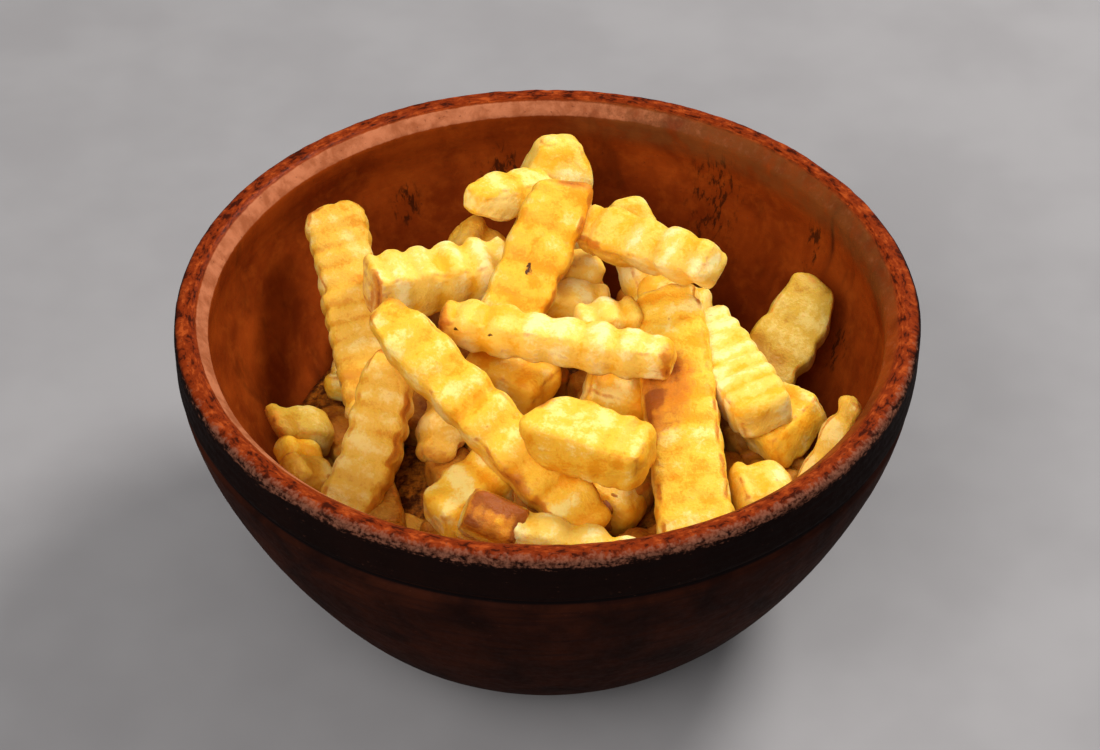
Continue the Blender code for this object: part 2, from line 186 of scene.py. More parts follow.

# Kinds of crust: raised colour (painted highlight), body colour, colour in the hollows (painted shade), how
# blistered it is
KINDS = {
    "pale": ((0.97, 0.79, 0.33), (0.94, 0.60, 0.10), (0.88, 0.45, 0.025), 0.35),
    "golden": ((0.97, 0.73, 0.22), (0.92, 0.51, 0.04), (0.84, 0.35, 0.012), 0.45),
    "tan": ((0.89, 0.62, 0.18), (0.81, 0.45, 0.05), (0.70, 0.30, 0.018), 0.80),
    "crisp": ((0.97, 0.74, 0.24), (0.93, 0.54, 0.05), (0.87, 0.37, 0.016), 1.00),
    "olive": ((0.68, 0.49, 0.13), (0.57, 0.34, 0.037), (0.45, 0.21, 0.012), 0.60),
    # amber, dark and deep are darker copies of the crust: painted shade for the fries low and deep in the
    # heap
    "amber": ((0.70, 0.33, 0.040), (0.56, 0.20, 0.014), (0.40, 0.10, 0.006), 0.80),
    "dark": ((0.56, 0.25, 0.030), (0.42, 0.145, 0.011), (0.26, 0.065, 0.005), 0.80),
    "deep": ((0.20, 0.060, 0.007), (0.11, 0.026, 0.003), (0.05, 0.010, 0.0015), 0.80),
}
CRUST_AMBER = (0.60, 0.19, 0.014)
CRUST_BROWN = (0.32, 0.078, 0.011)

# Rings of fries packed deep in the heap: radius, height, how many
PACKED = [(0.012, 0.0470, 3), (0.029, 0.0450, 8), (0.0445, 0.0415, 12)]

# Small burnt flecks: fry, share of its length, turn round its section, radius
FLECKS = [
    (9, 0.53, 0.375, 0.9 * MM),
    (9, 0.56, 0.385, 1.0 * MM),
    (15, 0.09, 0.015, 0.7 * MM),
    (15, 0.24, 0.015, 0.6 * MM),
    (6, 0.24, 0.16, 0.6 * MM),
]

# Browned places: fry, share of its length, turn round its section, reach along it and
# round it, strength
BROWNED = [
    (1, 0.35, 0.57, 13 * MM, 1.6 * MM, 0.50),
    (1, 0.80, 0.57, 5 * MM, 1.5 * MM, 0.45),
    (2, 0.02, 0.20, 3 * MM, 8.0 * MM, 0.35),
    (4, 0.50, 0.30, 7 * MM, 2.0 * MM, 0.55),
    (6, 0.03, 0.30, 4 * MM, 3.0 * MM, 0.60),
    # darker patch low on the long front fry: partly its browning, partly painted shade on its underside
    (6, 0.72, 0.01, 9 * MM, 3.5 * MM, 0.70),
    (7, 0.00, 0.50, 2.0 * MM, 40.0 * MM, 0.22),
    (7, 0.10, 0.92, 3 * MM, 4.0 * MM, 0.25),
    (7, 0.55, 0.84, 12 * MM, 3.2 * MM, 0.34),
    (9, 0.25, 0.58, 10 * MM, 2.8 * MM, 0.62),
    (9, 0.65, 0.56, 9 * MM, 1.8 * MM, 0.48),
    (9, 0.02, 0.45, 2.5 * MM, 9.0 * MM, 0.35),
    (10, 0.55, 0.67, 3 * MM, 6.0 * MM, 0.60),
    (12, 0.20, 0.00, 10 * MM, 2.5 * MM, 0.40),
    (12, 0.70, 0.92, 7 * MM, 2.5 * MM, 0.25),
    (15, 0.985, 0.05, 2.2 * MM, 7.0 * MM, 0.42),
    (15, 0.02, 0.12, 2.0 * MM, 7.0 * MM, 0.45),
    (15, 0.50, 0.90, 24 * MM, 2.6 * MM, 0.22),
    (18, 0.95, 0.25, 3 * MM, 5.0 * MM, 0.45),
    (21, 0.40, 0.14, 10 * MM, 7.0 * MM, 1.20),
    (21, 0.44, 0.05, 15 * MM, 2.8 * MM, 0.42),
    (21, 0.64, 0.03, 12 * MM, 1.8 * MM, 0.30),
    (23, 0.75, 0.42, 6 * MM, 2.5 * MM, 0.40),
    (27, 0.02, 0.25, 2.5 * MM, 6.0 * MM, 0.30),
    (29, 0.93, 0.17, 3 * MM, 9.0 * MM, 0.45),
    (29, 0.80, 0.17, 8 * MM, 12.0 * MM, 0.45),
    (29, 1.00, 0.45, 3 * MM, 40.0 * MM, 0.35),
    (29, 0.95, 0.75, 4 * MM, 6.0 * MM, 0.35),
]


# ---------------------------------------------------------------- noise

def lattice_noise(points, size, seed):
    """Smooth noise from -1 to 1 at points, with lumps about size across."""
    cell = points / size
    corner = np.floor(cell).astype(np.int64)
    part = cell - corner
    part = part * part * (3 - 2 * part)
    total = np.zeros(len(points))
    for dx in (0, 1):
        for dy in (0, 1):
            for dz in (0, 1):
                key = (corner[:, 0] + dx) * 73856093 ^ (corner[:, 1] + dy) * 19349663
                key = (key ^ (corner[:, 2] + dz) * 83492791) + seed * 2654435761
                key = (key ^ (key >> 13)) * 1274126177 & 0xFFFFFFFF
                key = (key ^ (key >> 16)) & 0xFFFF
                weight = (part[:, 0] if dx else 1 - part[:, 0])
                weight = weight * (part[:, 1] if dy else 1 - part[:, 1])
                weight = weight * (part[:, 2] if dz else 1 - part[:, 2])
                total += weight * (key / 32767.5 - 1.0)
    return total


def smooth_step(low, high, value):
    share = np.clip((value - low) / (high - low), 0.0, 1.0)
    return share * share * (3 - 2 * share)


# ---------------------------------------------------------------- meshes

def mesh_object(name, points, faces, attributes=None, smooth=True):
    mesh = bpy.data.meshes.new(name)
    mesh.from_pydata([tuple(p) for p in points], [], faces)
    for label, values in (attributes or {}).items():
        layer = mesh.attributes.new(label, "FLOAT", "POINT")
        layer.data.foreach_set("value", np.asarray(values, dtype=np.float32))
    if smooth:
        mesh.shade_smooth()
    mesh.update()
    thing = bpy.data.objects.new(name, mesh)
    bpy.context.scene.collection.objects.link(thing)
    return thing


def vertex_normals(points, faces):
    """Normals of a mesh of quads and triangles, without making an object of it."""
    normals = np.zeros_like(points)
    for size in (3, 4):
        chosen = np.array([f for f in faces if len(f) == size], dtype=np.int64)
        if not len(chosen):
            continue
        first = points[chosen[:, 0]]
        across = points[chosen[:, size - 1]] - first
        along = points[chosen[:, 1]] - first
        if size == 4:
            along = points[chosen[:, 2]] - first
            across = points[chosen[:, 3]] - points[chosen[:, 1]]
        flat = np.cross(along, across)
        for corner in range(size):
            np.add.at(normals, chosen[:, corner], flat)
    lengths = np.linalg.norm(normals, axis=1)
    return normals / np.maximum(lengths, 1e-12)[:, None]


# ---------------------------------------------------------------- fries

def fry_axes(fry):
    """Start, length and the three directions of a bar: along, across, crinkle normal."""
    start = Vector(fry.start)
    along = Vector(fry.end) - start
    length = along.length
    along.normalize()
    across = along.cross(Vector((0.0, 0.0, 1.0))).normalized()
    normal = across.cross(along)
    roll = math.radians(fry.roll)
    rolled_normal = normal * math.cos(roll) + across * math.sin(roll)
    rolled_across = across * math.cos(roll) - normal * math.sin(roll)
    return np.array(start), length, np.array(along), np.array(rolled_across), np.array(rolled_normal)


def fry_stations(length, half, radius):
    """Rings of a bar: place along it, fullness of the section, and how near an end's edge."""
    turns = np.linspace(0.5 * math.pi, 0.0, 7)
    full_edge = 1 - radius / half
    face_fullness = full_edge * np.array([0.25, 0.5, 0.75])
    face_places = 0.12 * MM * (face_fullness ** 2 - 1)
    edge_places = radius * (1 - np.cos(0.5 * math.pi - turns))
    edge_fullness = full_edge + (1 - full_edge) * np.sin(0.5 * math.pi - turns)
    start_places = np.concatenate([face_places, edge_places])
    start_fullness = np.concatenate([face_fullness, edge_fullness])
    start_nearness = np.concatenate([[0.0, 0.1, 0.5], np.sin(2 * np.clip(turns, 0.2, 1.4)) ** 2])
    count = max(3, round((length - 2 * radius) / RING_STEP))
    middle = np.linspace(radius, length - radius, count + 1)[1:-1]
    places = np.concatenate([start_places, middle, (length - start_places)[::-1]])
    fullness = np.concatenate([start_fullness, np.ones(len(middle)), start_fullness[::-1]])
    nearness = np.concatenate([start_nearness, np.zeros(len(middle)), start_nearness[::-1]])
    return places, fullness, nearness


def rounded_section(half_wide, half_deep, radius):
    """Points round a bar's cross-section, closer together at its corners, and their edge share."""
    flat_u, flat_v = half_wide - radius, half_deep - radius
    fine = []
    for corner, (su, sv) in enumerate(((1, 1), (-1, 1), (-1, -1), (1, -1))):
        for step in range(12):
            angle = 0.5 * math.pi * (corner + step / 11)
            fine.append((su * flat_u + radius * math.cos(angle), sv * flat_v + radius * math.sin(angle)))
    fine = np.array(fine + fine[:1])
    gaps = np.linalg.norm(np.diff(fine, axis=0), axis=1)
    at_corner = np.append(np.tile(np.append(np.ones(11), 0.0), 4), 1.0)[:-1]
    run = np.concatenate([[0.0], np.cumsum(gaps)])
    weighted = np.concatenate([[0.0], np.cumsum(gaps * (1 + 0.8 * at_corner))])
    wanted = np.interp(np.linspace(0.0, weighted[-1], RING_POINTS, endpoint=False), weighted, run)
    section = np.stack([np.interp(wanted, run, fine[:, 0]), np.interp(wanted, run, fine[:, 1])], 1)
    near_u = np.clip((abs(section[:, 0]) - flat_u) / radius, 0, 1)
    near_v = np.clip((abs(section[:, 1]) - flat_v) / radius, 0, 1)
    bulge_u = BULGE * np.sign(section[:, 0]) * np.clip(1 - (section[:, 1] / flat_v) ** 2, 0, 1)
    bulge_v = BULGE * np.sign(section[:, 1]) * np.clip(1 - (section[:, 0] / flat_u) ** 2, 0, 1)
    section = section + np.stack([bulge_u * near_u, bulge_v * near_v], 1)
    return section, np.clip(2 * near_u * near_v, 0, 1), wanted / run[-1]


def ridge_wave(fry, places, chance):
    """Ridges along a bar, from -1 to 1: round crests, tighter grooves, never quite even."""
    drift = 0.35 * np.sin(2 * math.pi * places / (21 * MM) + chance.uniform(0, 6.28))
    phase = 2 * math.pi * places / fry.pitch + drift
    strength = 1 + 0.30 * np.sin(2 * math.pi * places / (29 * MM) + chance.uniform(0, 6.28))
    return strength * (np.cos(phase) - 0.18 * np.cos(2 * phase))


def tip_size(fry, places, length):
    """Size of the section along a bar, against its middle."""
    reach = min(TIP_REACH, 0.5 * length)
    at_start = np.clip(1 - places / reach, 0, 1) ** 2
    at_end = np.clip(1 - (length - places) / reach, 0, 1) ** 2
    return 1 - (1 - fry.tips[0]) * at_start - (1 - fry.tips[1]) * at_end


def closed_tube(rings, along):
    """Points and faces of a tube of equal rings, closed at both ends."""
    count, around = rings.shape[:2]
    tips = [rings[0].mean(0) - 0.02 * MM * along, rings[-1].mean(0) + 0.02 * MM * along]
    points = np.vstack([rings.reshape(-1, 3), tips])
    index = np.arange(count * around).reshape(count, around)
    after = np.roll(index, -1, axis=1)
    quads = np.stack([index[:-1], after[:-1], after[1:], index[1:]], -1).reshape(-1, 4)
    faces = [tuple(quad) for quad in quads.tolist()]
    first, last = count * around, count * around + 1
    faces += [(first, int(after[0, k]), int(index[0, k])) for k in range(around)]
    faces += [(last, int(index[-1, k]), int(after[-1, k])) for k in range(around)]
    return points, faces


def fleck_darkness(number, shares, turns, length, girth):
    """How dark the small burnt flecks make each point of a fry."""
    dark = np.zeros(len(shares))
    for fry_number, share, turn, radius in FLECKS:
        if fry_number != number:
            continue
        sideways = (turns - turn + 0.5) % 1.0 - 0.5
        distance = np.hypot((shares - share) * length * 0.7, sideways * girth)
        dark = np.maximum(dark, smooth_step(radius, 0.4 * radius, distance))
    return dark


def browned_places(number, shares, turns, length, girth):
    """Browning given for chosen places of a fry."""
    brown = np.zeros(len(shares))
    for fry_number, share, turn, along, around, strength in BROWNED:
        if fry_number != number:
            continue
        sideways = (turns - turn + 0.5) % 1.0 - 0.5
        away = ((shares - share) * length / along) ** 2 + (sideways * girth / around) ** 2
        brown += strength * np.exp(-away ** 1.5)
    return brown


def fry_form(fry, number):
    """Points, faces and surface values of one fry."""
    chance = np.random.default_rng(500 + number)
    start, length, along, across, normal = fry_axes(fry)
    blister = KINDS[fry.kind][3]
    half_wide, half_deep = 0.5 * fry.wide, 0.5 * fry.deep
    half = min(half_wide, half_deep)
    corner = min(CORNER_ROUND * chance.uniform(0.7, 1.25), 0.6 * half)
    end_round = min(END_ROUND * chance.uniform(0.8, 1.3), 0.75 * half, 0.25 * length)
    places, fullness, nearness = fry_stations(length, half, end_round)
    section, edge, turn = rounded_section(half_wide, half_deep, corner)

    wave = ridge_wave(fry, places, chance)
    share = np.clip(places / length, 0, 1)
    bow = 4 * share * (1 - share)
    side_bow = chance.uniform(-0.4, 0.4) * MM
    twist = math.radians(chance.uniform(-4, 4)) * (2 * share - 1)
    slant = chance.uniform(-0.10, 0.10)
    uneven = chance.uniform(-0.35, 0.35, 2)
    size = fullness * tip_size(fry, places, length)
    grow_u = size[:, None] * (1 + SIDE_RIDGE * fry.ridge / half_wide * wave[:, None]
                              * (1 + uneven[0] * np.sign(section[:, 0])))
    grow_v = size[:, None] * (1 + fry.ridge / half_deep * wave[:, None]
                              * (1 + uneven[1] * np.sign(section[:, 1])))
    u, v = section[:, 0] * grow_u, section[:, 1] * grow_v
    u = u + slant * v
    turned_u = u * np.cos(twist)[:, None] - v * np.sin(twist)[:, None] + (side_bow * bow)[:, None]
    turned_v = u * np.sin(twist)[:, None] + v * np.cos(twist)[:, None] + (fry.bend * bow)[:, None]
    at_start = np.clip(1 - places / LEAN_REACH, 0, 1)[:, None] ** 2
    at_end = np.clip(1 - (length - places) / LEAN_REACH, 0, 1)[:, None] ** 2
    cut = chance.uniform(-0.14, 0.14, 2)
    run = places[:, None] + at_start * (fry.lean[0] * u + fry.lean[1] * v)
    run = run + at_end * (cut[0] * u + cut[1] * v)
    rings = start + run[..., None] * along + turned_u[..., None] * across + turned_v[..., None] * normal
    points, faces = closed_tube(rings, along)

    def per_ring(values):
        return np.concatenate([np.repeat(values, RING_POINTS), [values[0], values[-1]]])

    def per_corner(values):
        return np.concatenate([np.tile(values, len(places)), [0.0, 0.0]])

    long_edges = per_corner(edge) * per_ring(smooth_step(0.6, 0.95, fullness))
    edges = np.maximum(long_edges, per_ring(nearness))
    from_start, from_end = per_ring(places), per_ring(length - places)

    # blistered, uneven crust, frayed along the edges
    lumps = lattice_noise(points, 11 * MM, number)
    dents = lattice_noise(points, 4.6 * MM, number + 50)
    blisters = lattice_noise(points, 2.3 * MM, number + 100)
    grain = lattice_noise(points, 1.15 * MM, number + 150)
    near_end = np.exp(-np.minimum(from_start, from_end) / (3 * MM))
    frayed = 0.32 + 0.45 * ("E" in fry.marks)
    relief = 0.34 * lumps + (0.22 + frayed * near_end) * dents + 0.11 * blisters + 0.055 * grain
    relief = relief + blister * (0.14 * np.maximum(blisters, 0) + 0.06 * grain)
    relief = relief + edges * (0.15 + 0.35 * blister) * (0.5 * blisters + 0.35 * grain + 0.1)
    points = points + vertex_normals(points, faces) * (relief * MM)[:, None]

    # browning: on the marked ends and edges, thin broken lines on the long edges, patches
    strengths = {"S": 1.0, "s": 0.55, "E": 1.0, "e": 0.55}
    at_first = max([strengths[m] for m in fry.marks if m in "sS"], default=0.15)
    at_last = max([strengths[m] for m in fry.marks if m in "eE"], default=0.15)
    patch = smooth_step(-0.35, 0.65, lumps + 0.7 * dents)
    broken = smooth_step(-0.25, 0.45, dents + 0.5 * blisters)
    brown = (0.17 + 0.38 * blister) * smooth_step(0.6, 1.0, edges) * broken
    ring = 0.10 + 0.18 * patch + 0.75 * per_ring(nearness) * (0.45 + 0.55 * broken)
    brown += at_first * np.exp(-(np.maximum(from_start, 0) / (2.2 * MM)) ** 1.5) * ring
    brown += at_last * np.exp(-(np.maximum(from_end, 0) / (2.2 * MM)) ** 1.5) * ring
    girth = 4 * (half_wide + half_deep)
    brown += browned_places(number, per_ring(share), per_corner(turn), length, girth) * (0.6 + 0.6 * broken)
    # The shading value paints highlight on the ridges' crests, lumps and blisters and shade in the grooves
    # and dents; it is lower towards the ends' edges and where the crust is browned.
    banding = 0.20 * min(1.0, fry.ridge / (0.25 * MM))
    light = 0.50 + banding * per_ring(wave) + 0.40 * lumps + 0.38 * dents + 0.18 * blisters
    light = light - 0.15 * per_ring(nearness) - 0.35 * brown
    dark = fleck_darkness(number, per_ring(share), per_corner(turn), length, girth)
    values = {"browning": np.clip(brown, 0, 1.4), "shading_and_browning": np.clip(light, 0, 1), "fleck": dark}
    return points, faces, values


def packed_fries():
    """Fries deep in the heap, seen only through its gaps, in the dark kind that paints the shade there."""
    chance = np.random.default_rng(77)
    fries = []
    for radius, height, count in PACKED:
        for place in range(count):
            angle = 2 * math.pi * (place + chance.uniform(-0.2, 0.2)) / count
            heading = angle + 0.5 * math.pi + chance.uniform(-0.8, 0.8)
            middle = Vector((radius * math.cos(angle), radius * math.sin(angle), height))
            slope = chance.uniform(-0.15, 0.15)
            half = Vector((math.cos(heading), math.sin(heading), slope)) * chance.uniform(0.009, 0.012)
            fries.append(Fry(tuple(middle - half), tuple(middle + half), 0.010, 0.009, kind="dark"))
    return fries


def make_fries():
    """All fries of one kind are one piece."""
    pieces = []
    for kind in KINDS:
        points, faces, values = [], [], {"browning": [], "shading_and_browning": [], "fleck": []}
        total = 0
        for number, fry in enumerate(FRIES + packed_fries()):
            if fry.kind != kind:
                continue
            own_points, own_faces, own_values = fry_form(fry, number)
            faces += [tuple(corner + total for corner in face) for face in own_faces]
            points.append(own_points)
            total += len(own_points)
            for label in values:
                values[label].append(own_values[label])
        if not points:
            continue
        values = {label: np.concatenate(parts) for label, parts in values.items()}
        piece = mesh_object(f"fries_{kind}", np.vstack(points), faces, values)
        piece.data.materials.append(fry_material(kind))
        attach(piece, BODY)
        pieces.append(piece)
    return pieces


def make_core():
    """Lump of packed fries deep under the single ones, coloured dark as painted shade for the gaps between
    them.
    """
    rings, sides = 40, 96
    edge_height, rise = 0.034, 0.010
    wall = [p for p in inner_outline(0.0006, 40) if p[1] < edge_height]
    reach = wall[-1][0]
    profile = [(0.0, wall[0][1])] + wall
    for ring in range(1, rings + 1):
        part = 1 - ring / rings
        profile.append((reach * part, edge_height + rise * (1 - part ** 2)))
    points, faces, _ = turned(profile, sides)
    points = np.array(points)
    on_top = smooth_step(edge_height - 0.001, edge_height + 0.002, points[:, 2])
    bumps = 1.8 * lattice_noise(points, 9 * MM, 7) + 0.8 * lattice_noise(points, 3.5 * MM, 8)
    points = points + vertex_normals(points, faces) * (bumps * on_top * MM)[:, None]
    count = len(points)
    # A low shading value and the deep kind paint the shade the core lies in.
    values = {"browning": np.full(count, 0.3), "shading_and_browning": np.full(count, 0.2), "fleck": np.zeros(count)}
    core = mesh_object("fries_core", points, faces, values)
    core.data.materials.append(fry_material("deep"))
    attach(core, BODY)
    return core


# ---------------------------------------------------------------- bowl

def bezier(first, pull_first, pull_last, last, steps):
    t = np.linspace(0, 1, steps + 1)[:, None]
    corners = [np.array(c) for c in (first, pull_first, pull_last, last)]
    weights = ((1 - t) ** 3, 3 * t * (1 - t) ** 2, 3 * t * t * (1 - t), t ** 3)
    return sum(w * c for w, c in zip(weights, corners))


def body_outline(steps):
    foot = (FOOT_RADIUS, 0.0)
    shoulder = (SHOULDER_RADIUS, SHOULDER_HEIGHT)
    pull_foot = (foot[0] + 0.020, foot[1] + 0.007)
    pull_shoulder = (shoulder[0] - 0.0028, shoulder[1] - 0.0185)
    return bezier(foot, pull_foot, pull_shoulder, shoulder, steps)


def inner_outline(inset, steps):
    """Inside of the bowl from the floor up, as (radius, height) pairs."""
    outline = body_outline(steps)
    along = np.gradient(outline, axis=0)
    along /= np.linalg.norm(along, axis=1)[:, None]
    moved = outline + (WALL + inset) * np.stack([-along[:, 1], along[:, 0]], 1)
    floor = FLOOR_HEIGHT + inset
    above = moved[moved[:, 1] > floor + 0.0004]
    edge = np.interp(floor, moved[:, 1], moved[:, 0])
    return [(edge, floor)] + [tuple(p) for p in above]


def resampled(outline, step):
    """The same outline with points every step along it."""
    line = np.array(outline)
    run = np.concatenate([[0.0], np.cumsum(np.linalg.norm(np.diff(line, axis=0), axis=1))])
    count = max(1, int(run[-1] / step))
    wanted = np.linspace(0.0, run[-1], count + 1)
    return np.stack([np.interp(wanted, run, line[:, 0]), np.interp(wanted, run, line[:, 1])], 1)


def rounded_corners(outline, radius):
    """Cuts each inner corner of an outline into a short curve."""
    line = [np.array(p) for p in outline]
    out = [line[0]]
    for before, corner, after in zip(line, line[1:], line[2:]):
        back, on = before - corner, after - corner
        reach = min(radius, 0.45 * np.linalg.norm(back), 0.45 * np.linalg.norm(on))
        first = corner + back / np.linalg.norm(back) * reach
        last = corner + on / np.linalg.norm(on) * reach
        for t in (0.0, 0.25, 0.5, 0.75, 1.0):
            out.append((1 - t) ** 2 * first + 2 * t * (1 - t) * corner + t * t * last)
    out.append(line[-1])
    return out


def turned(outline, sides):
    """Points and faces turned about Z; an outline point on the axis becomes one point."""
    points, faces, rings = [], [], []
    angles = 2 * math.pi * np.arange(sides) / sides
    for radius, height in outline:
        if radius < 1e-7:
            rings.append([len(points)])
            points.append((0.0, 0.0, height))
            continue
        rings.append(list(range(len(points), len(points) + sides)))
        points += [(radius * math.cos(a), radius * math.sin(a), height) for a in angles]
    for lower, upper in zip(rings, rings[1:]):
        for side in range(sides):
            following = (side + 1) % sides
            corners = [lower[side % len(lower)], lower[following % len(lower)],
                       upper[following % len(upper)], upper[side % len(upper)]]
            faces.append(tuple(dict.fromkeys(corners)))
    return points, faces, rings


def rim_outline(outside_end, inside_end):
    """Groove, collar, crest and lip, from the outside's last point to the inside's first."""
    across, rise = RIM_RADIUS - CREST_RADIUS, RIM_HEIGHT - COLLAR_TOP
    outer_corner = [(CREST_RADIUS + across * math.cos(a), COLLAR_TOP + rise * math.sin(a))
                    for a in np.linspace(0, 0.5 * math.pi, 12)]
    rim = [outside_end, (GROOVE_RADIUS, GROOVE_HEIGHT), (RIM_RADIUS, COLLAR_BOTTOM)] + outer_corner
    return rounded_corners(rim + [CREST_INNER, LIP_OUTER, LIP_INNER, inside_end], 0.0010)


def bowl_outline():
    """Whole profile from the axis under the base round to the axis inside, finest on the rim."""
    outside = body_outline(60)
    inside = np.array(inner_outline(0.0, 60))[::-1]
    parts = [resampled([(0.0, 0.0), outside[0]], 3 * MM), resampled(outside, WALL_STEP),
             resampled(rim_outline(outside[-1], inside[0]), RIM_STEP), resampled(inside, WALL_STEP),
             resampled([inside[-1], (0.0, FLOOR_HEIGHT)], 3 * MM)]
    line = np.vstack([parts[0]] + [part[1:] for part in parts[1:]])
    line[0, 0] = 0.0
    line[-1, 0] = 0.0
    return line


def facing(angle, degrees):
    """1 where the bowl's side faces this direction, 0 on the opposite side."""
    return 0.5 + 0.5 * np.cos(angle - math.radians(degrees))


def blob(angle, height, place):
    """Round patch on the wall given by its angle, height, half width and half height."""
    turn, middle, half_turn, half_height = place
    away = (np.degrees(angle) - turn + 180.0) % 360.0 - 180.0
    return np.exp(-(away / half_turn) ** 2 - ((height - middle) / half_height) ** 2)


def bowl_values(angle, radius, height, inside):
    """Where the glaze is worn, dull or stained, from 0 to 1."""
    off_lip = np.hypot(radius - 0.5 * (LIP_OUTER[0] + LIP_INNER[0]),
                       height - 0.5 * (LIP_OUTER[1] + LIP_INNER[1]))
    lip = smooth_step(2.1 * MM, 1.5 * MM, off_lip) * inside
    # The worn lip is real wear; its fading from the lit left round to the right paints the shade on the right
    # side of the lip.
    lip = lip * (0.18 + 0.82 * smooth_step(0.35, 0.85, facing(angle, 160)))
    off_corner = np.hypot(radius - (RIM_RADIUS - 0.5 * MM), height - (COLLAR_TOP + 1.3 * MM))
    chipped = smooth_step(2.6 * MM, 0.4 * MM, off_corner) * (1 - inside)
    chipped = chipped * smooth_step(0.45, 0.85, facing(angle, -85))
    below_lip = smooth_step(-8.0 * MM, -3.0 * MM, height - LIP_INNER[1])
    dull = below_lip * smooth_step(0.80, 0.93, facing(angle, 42)) * inside
    stained = sum(blob(angle, height, place) for place in STAINS) * inside
    dripping = blob(angle, height, DRIP) * inside
    return {"inside": inside, "lip": lip, "chipped": chipped, "dull": dull,
            "stained": np.clip(stained, 0, 1), "dripping": dripping}


def make_bowl():
    outline = bowl_outline()
    points, faces, rings = turned(outline, BOWL_SIDES)
    points = np.array(points)
    radius = np.hypot(points[:, 0], points[:, 1])
    height = points[:, 2]
    angle = np.arctan2(points[:, 1], points[:, 0])
    inside = np.zeros(len(points))
    for ring, (ring_radius, ring_height) in zip(rings, outline):
        if ring[0] >= rings[len(outline) // 2][0] and ring_radius < CREST_INNER[0] + 0.0002:
            inside[ring] = 1.0
    values = bowl_values(angle, radius, height, inside)

    throwing = np.sin(2 * math.pi * height / (2.3 * MM) + 1.5 * np.sin(angle + 1)) * (1 - inside)
    throwing_inside = np.sin(2 * math.pi * height / (6.5 * MM) + 0.8 * np.sin(angle)) * inside
    lumps = lattice_noise(points, 26 * MM, 21)
    waves = lattice_noise(points, 7 * MM, 24)
    pits = lattice_noise(points, 2.4 * MM, 22)
    fine = lattice_noise(points, 1.4 * MM, 23)
    off_base = smooth_step(0.001, 0.006, height)
    crest = smooth_step(COLLAR_TOP, COLLAR_TOP + 0.0015, height) * (1 - values["lip"])
    relief = 0.05 * throwing * smooth_step(0.02, 0.06, height) + 0.07 * throwing_inside
    relief = relief + 0.20 * lumps + 0.05 * waves
    relief = relief + crest * (0.10 * pits + 0.07 * fine)
    relief = relief + values["chipped"] * (0.08 * pits + 0.06 * fine - 0.05)
    relief = relief + values["stained"] * 0.05 * fine
    points = points + vertex_normals(points, faces) * (relief * MM * off_base)[:, None]
    bowl = mesh_object("bowl_glazed", points, faces, values)
    bowl.data.materials.append(bowl_material())
    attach(bowl, BODY)
    return bowl


# ---------------------------------------------------------------- materials

class Nodes:
    """Short ways to add and join shader nodes."""

    def __init__(self, name):
        self.material = bpy.data.materials.new(name)
        self.material.use_nodes = True
        self.tree = self.material.node_tree
        self.shader = self.tree.nodes["Principled BSDF"]
        self.place = self.add("ShaderNodeTexCoord").outputs["Object"]

    def add(self, kind, **settings):
        node = self.tree.nodes.new(kind)
        for label, value in settings.items():
            setattr(node, label, value)
        return node

    def feed(self, socket, source):
        if isinstance(source, bpy.types.NodeSocket):
            self.tree.links.new(source, socket)
        else:
            socket.default_value = source

    def attribute(self, label):
        return self.add("ShaderNodeAttribute", attribute_name=label).outputs["Fac"]

    def noise(self, size, detail=2.0, roughness=0.5, distortion=0.0, stretch=None, place=None):
        place = place or self.place
        if stretch:
            mapping = self.add("ShaderNodeMapping")
            mapping.inputs["Scale"].default_value = stretch
            self.feed(mapping.inputs["Vector"], place)
            place = mapping.outputs["Vector"]
        node = self.add("ShaderNodeTexNoise")
        self.feed(node.inputs["Vector"], place)
        node.inputs["Scale"].default_value = 1.0 / size
        node.inputs["Detail"].default_value = detail
        node.inputs["Roughness"].default_value = roughness
        node.inputs["Distortion"].default_value = distortion
        return node.outputs["Fac"]

    def round_place(self, along):
        """Place on the rim whose distances round the bowl count only this much."""
        def vector(operation, *values):
            node = self.add("ShaderNodeVectorMath", operation=operation)
            for socket, value in zip(node.inputs, values):
                self.feed(socket, value)
            return node

        flat = vector("MULTIPLY", self.place, (1.0, 1.0, 0.0)).outputs[0]
        direction = vector("NORMALIZE", flat).outputs[0]
        reach = (RIM_RADIUS * along,) * 3
        length = vector("LENGTH", flat).outputs["Value"]
        height = self.add("ShaderNodeSeparateXYZ")
        self.feed(height.inputs[0], self.place)
        across = self.math("MULTIPLY_ADD", height.outputs["Z"], 2.0, length)
        up = self.add("ShaderNodeCombineXYZ")
        self.feed(up.inputs["Z"], across)
        return vector("ADD", vector("MULTIPLY", direction, reach).outputs[0], up.outputs[0]).outputs[0]

    def math(self, operation, *values):
        node = self.add("ShaderNodeMath", operation=operation)
        for socket, value in zip(node.inputs, values):
            self.feed(socket, value)
        return node.outputs[0]

    def band(self, value, low, high, to_low=0.0, to_high=1.0):
        node = self.add("ShaderNodeMapRange", interpolation_type="SMOOTHSTEP")
        for label, source in (("Value", value), ("From Min", low), ("From Max", high),
                              ("To Min", to_low), ("To Max", to_high)):
            self.feed(node.inputs[label], source)
        return node.outputs["Result"]

    def mix(self, share, first, second):
        node = self.add("ShaderNodeMix", data_type="RGBA")
        self.feed(node.inputs["Factor"], share)
        for socket, value in ((node.inputs[6], first), (node.inputs[7], second)):
            self.feed(socket, (*value, 1.0) if isinstance(value, tuple) else value)
        return node.outputs[2]

    def bump(self, height, distance, strength=1.0, under=None):
        node = self.add("ShaderNodeBump")
        node.inputs["Distance"].default_value = distance
        node.inputs["Strength"].default_value = strength
        self.feed(node.inputs["Height"], height)
        if under is not None:
            self.feed(node.inputs["Normal"], under)
        return node.outputs["Normal"]


